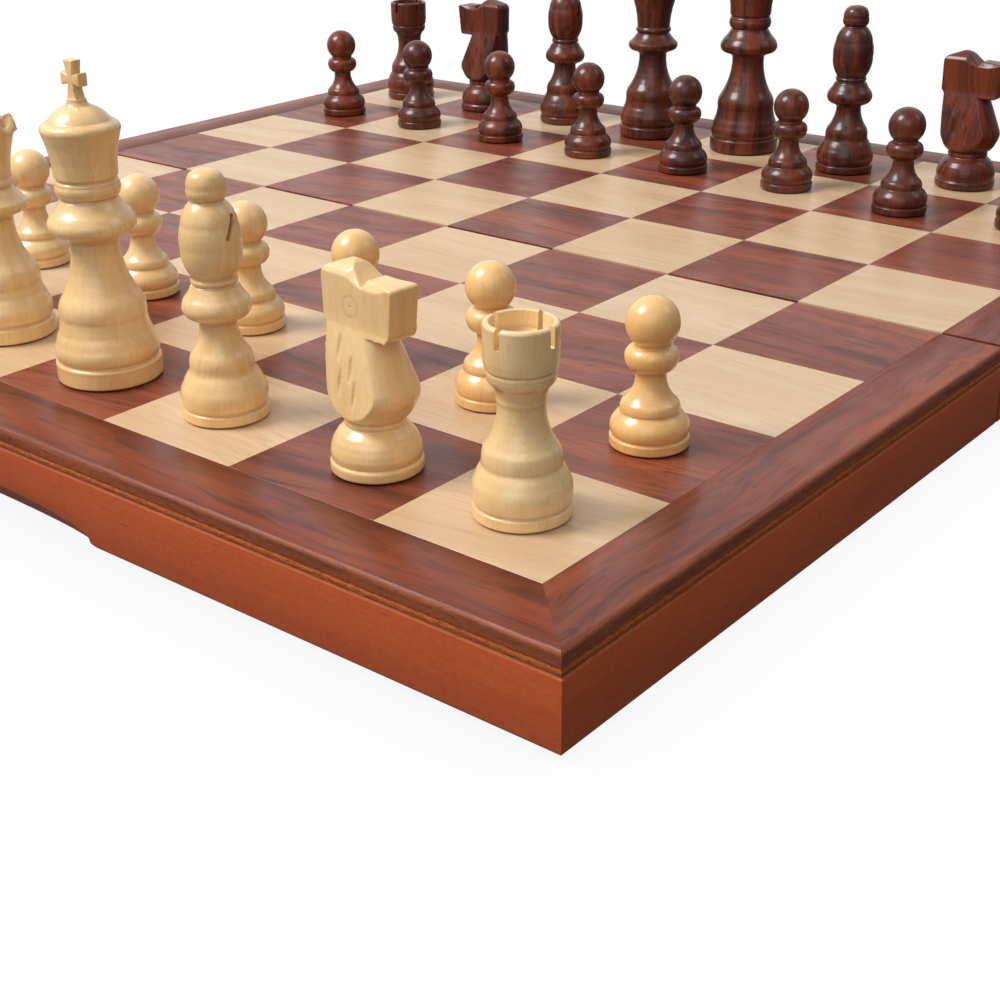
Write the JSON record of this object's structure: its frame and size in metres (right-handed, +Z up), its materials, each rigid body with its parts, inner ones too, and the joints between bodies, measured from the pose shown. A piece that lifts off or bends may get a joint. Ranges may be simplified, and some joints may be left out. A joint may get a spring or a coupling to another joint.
{
  "type": "chess set with board",
  "caption": "Folding wooden box board with inlaid squares and a moulded edge, hinged across the middle, with turned light and dark chess pieces on their starting squares.",
  "frame": {"origin": "middle of the fold line, in the plane of the rims that the open board stands on", "axes": "+X from file a to file h, +Y from rank 1 to rank 8 across the fold, +Z up"},
  "size_m": [0.38, 0.3816, 0.0993],
  "materials": {
    "light_piece_wood": "pale boxwood, clear gloss lacquer",
    "dark_piece_wood": "dark brown stain, gloss lacquer",
    "light_veneer": "maple veneer, satin lacquer",
    "dark_veneer": "reddish brown veneer, satin lacquer",
    "rail_wood": "red-brown stain, satin lacquer",
    "panel_core": "stained fibreboard, routed edge",
    "felt": "green felt",
    "brass": "satin",
    "pin_steel": "satin",
    "magnet": "nickel plated"
  },
  "bodies": {
    "front_half": {"front_outer_rail": "rail_wood", "front_left_rail": "rail_wood", "front_right_rail": "rail_wood", "front_centre_rail": "rail_wood", "front_panel": "panel_core", "front_border_veneer": "dark_veneer", "front_light_squares": "light_veneer", "front_dark_squares": "dark_veneer", "front_felt_lining": "felt", "front_magnets": "magnet", "front_left_hinge_leaf": "brass", "front_right_hinge_leaf": "brass", "front_hinge_screws": "brass", "left_hinge_pin": "pin_steel", "right_hinge_pin": "pin_steel"},
    "rear_half": {"rear_outer_rail": "rail_wood", "rear_left_rail": "rail_wood", "rear_right_rail": "rail_wood", "rear_centre_rail": "rail_wood", "rear_panel": "panel_core", "rear_border_veneer": "dark_veneer", "rear_light_squares": "light_veneer", "rear_dark_squares": "dark_veneer", "rear_felt_lining": "felt", "rear_magnets": "magnet", "rear_left_hinge_leaf": "brass", "rear_right_hinge_leaf": "brass", "rear_hinge_screws": "brass"},
    "white_rook_a": {"white_rook_a": "light_piece_wood"},
    "white_knight_b": {"white_knight_b": "light_piece_wood"},
    "white_bishop_c": {"white_bishop_c": "light_piece_wood"},
    "white_queen": {"white_queen": "light_piece_wood"},
    "white_king": {"white_king": "light_piece_wood"},
    "white_bishop_f": {"white_bishop_f": "light_piece_wood"},
    "white_knight_g": {"white_knight_g": "light_piece_wood"},
    "white_rook_h": {"white_rook_h": "light_piece_wood"},
    "white_pawn_a": {"white_pawn_a": "light_piece_wood"},
    "white_pawn_b": {"white_pawn_b": "light_piece_wood"},
    "white_pawn_c": {"white_pawn_c": "light_piece_wood"},
    "white_pawn_d": {"white_pawn_d": "light_piece_wood"},
    "white_pawn_e": {"white_pawn_e": "light_piece_wood"},
    "white_pawn_f": {"white_pawn_f": "light_piece_wood"},
    "white_pawn_g": {"white_pawn_g": "light_piece_wood"},
    "white_pawn_h": {"white_pawn_h": "light_piece_wood"},
    "black_pawn_a": {"black_pawn_a": "dark_piece_wood"},
    "black_pawn_b": {"black_pawn_b": "dark_piece_wood"},
    "black_pawn_c": {"black_pawn_c": "dark_piece_wood"},
    "black_pawn_d": {"black_pawn_d": "dark_piece_wood"},
    "black_pawn_e": {"black_pawn_e": "dark_piece_wood"},
    "black_pawn_f": {"black_pawn_f": "dark_piece_wood"},
    "black_pawn_g": {"black_pawn_g": "dark_piece_wood"},
    "black_pawn_h": {"black_pawn_h": "dark_piece_wood"},
    "black_rook_a": {"black_rook_a": "dark_piece_wood"},
    "black_knight_b": {"black_knight_b": "dark_piece_wood"},
    "black_bishop_c": {"black_bishop_c": "dark_piece_wood"},
    "black_queen": {"black_queen": "dark_piece_wood"},
    "black_king": {"black_king": "dark_piece_wood"},
    "black_bishop_f": {"black_bishop_f": "dark_piece_wood"},
    "black_knight_g": {"black_knight_g": "dark_piece_wood"},
    "black_rook_h": {"black_rook_h": "dark_piece_wood"}
  },
  "joints": [
    {"name": "board_fold", "type": "hinge", "parent": "front_half", "child": "rear_half", "pos_m": [0, 0, -0.00005], "axis": [-1, 0, 0], "range_deg": [0, 180]},
    {"name": "white_rook_a_lift", "type": "slide", "parent": "front_half", "child": "white_rook_a", "axis": [0, 0, 1], "range_m": [0, 0.1]},
    {"name": "white_knight_b_lift", "type": "slide", "parent": "front_half", "child": "white_knight_b", "axis": [0, 0, 1], "range_m": [0, 0.1]},
    {"name": "white_bishop_c_lift", "type": "slide", "parent": "front_half", "child": "white_bishop_c", "axis": [0, 0, 1], "range_m": [0, 0.1]},
    {"name": "white_queen_lift", "type": "slide", "parent": "front_half", "child": "white_queen", "axis": [0, 0, 1], "range_m": [0, 0.1]},
    {"name": "white_king_lift", "type": "slide", "parent": "front_half", "child": "white_king", "axis": [0, 0, 1], "range_m": [0, 0.1]},
    {"name": "white_bishop_f_lift", "type": "slide", "parent": "front_half", "child": "white_bishop_f", "axis": [0, 0, 1], "range_m": [0, 0.1]},
    {"name": "white_knight_g_lift", "type": "slide", "parent": "front_half", "child": "white_knight_g", "axis": [0, 0, 1], "range_m": [0, 0.1]},
    {"name": "white_rook_h_lift", "type": "slide", "parent": "front_half", "child": "white_rook_h", "axis": [0, 0, 1], "range_m": [0, 0.1]},
    {"name": "white_pawn_a_lift", "type": "slide", "parent": "front_half", "child": "white_pawn_a", "axis": [0, 0, 1], "range_m": [0, 0.1]},
    {"name": "white_pawn_b_lift", "type": "slide", "parent": "front_half", "child": "white_pawn_b", "axis": [0, 0, 1], "range_m": [0, 0.1]},
    {"name": "white_pawn_c_lift", "type": "slide", "parent": "front_half", "child": "white_pawn_c", "axis": [0, 0, 1], "range_m": [0, 0.1]},
    {"name": "white_pawn_d_lift", "type": "slide", "parent": "front_half", "child": "white_pawn_d", "axis": [0, 0, 1], "range_m": [0, 0.1]},
    {"name": "white_pawn_e_lift", "type": "slide", "parent": "front_half", "child": "white_pawn_e", "axis": [0, 0, 1], "range_m": [0, 0.1]},
    {"name": "white_pawn_f_lift", "type": "slide", "parent": "front_half", "child": "white_pawn_f", "axis": [0, 0, 1], "range_m": [0, 0.1]},
    {"name": "white_pawn_g_lift", "type": "slide", "parent": "front_half", "child": "white_pawn_g", "axis": [0, 0, 1], "range_m": [0, 0.1]},
    {"name": "white_pawn_h_lift", "type": "slide", "parent": "front_half", "child": "white_pawn_h", "axis": [0, 0, 1], "range_m": [0, 0.1]},
    {"name": "black_pawn_a_lift", "type": "slide", "parent": "rear_half", "child": "black_pawn_a", "axis": [0, 0, 1], "range_m": [0, 0.1]},
    {"name": "black_pawn_b_lift", "type": "slide", "parent": "rear_half", "child": "black_pawn_b", "axis": [0, 0, 1], "range_m": [0, 0.1]},
    {"name": "black_pawn_c_lift", "type": "slide", "parent": "rear_half", "child": "black_pawn_c", "axis": [0, 0, 1], "range_m": [0, 0.1]},
    {"name": "black_pawn_d_lift", "type": "slide", "parent": "rear_half", "child": "black_pawn_d", "axis": [0, 0, 1], "range_m": [0, 0.1]},
    {"name": "black_pawn_e_lift", "type": "slide", "parent": "rear_half", "child": "black_pawn_e", "axis": [0, 0, 1], "range_m": [0, 0.1]},
    {"name": "black_pawn_f_lift", "type": "slide", "parent": "rear_half", "child": "black_pawn_f", "axis": [0, 0, 1], "range_m": [0, 0.1]},
    {"name": "black_pawn_g_lift", "type": "slide", "parent": "rear_half", "child": "black_pawn_g", "axis": [0, 0, 1], "range_m": [0, 0.1]},
    {"name": "black_pawn_h_lift", "type": "slide", "parent": "rear_half", "child": "black_pawn_h", "axis": [0, 0, 1], "range_m": [0, 0.1]},
    {"name": "black_rook_a_lift", "type": "slide", "parent": "rear_half", "child": "black_rook_a", "axis": [0, 0, 1], "range_m": [0, 0.1]},
    {"name": "black_knight_b_lift", "type": "slide", "parent": "rear_half", "child": "black_knight_b", "axis": [0, 0, 1], "range_m": [0, 0.1]},
    {"name": "black_bishop_c_lift", "type": "slide", "parent": "rear_half", "child": "black_bishop_c", "axis": [0, 0, 1], "range_m": [0, 0.1]},
    {"name": "black_queen_lift", "type": "slide", "parent": "rear_half", "child": "black_queen", "axis": [0, 0, 1], "range_m": [0, 0.1]},
    {"name": "black_king_lift", "type": "slide", "parent": "rear_half", "child": "black_king", "axis": [0, 0, 1], "range_m": [0, 0.1]},
    {"name": "black_bishop_f_lift", "type": "slide", "parent": "rear_half", "child": "black_bishop_f", "axis": [0, 0, 1], "range_m": [0, 0.1]},
    {"name": "black_knight_g_lift", "type": "slide", "parent": "rear_half", "child": "black_knight_g", "axis": [0, 0, 1], "range_m": [0, 0.1]},
    {"name": "black_rook_h_lift", "type": "slide", "parent": "rear_half", "child": "black_rook_h", "axis": [0, 0, 1], "range_m": [0, 0.1]}
  ]
}
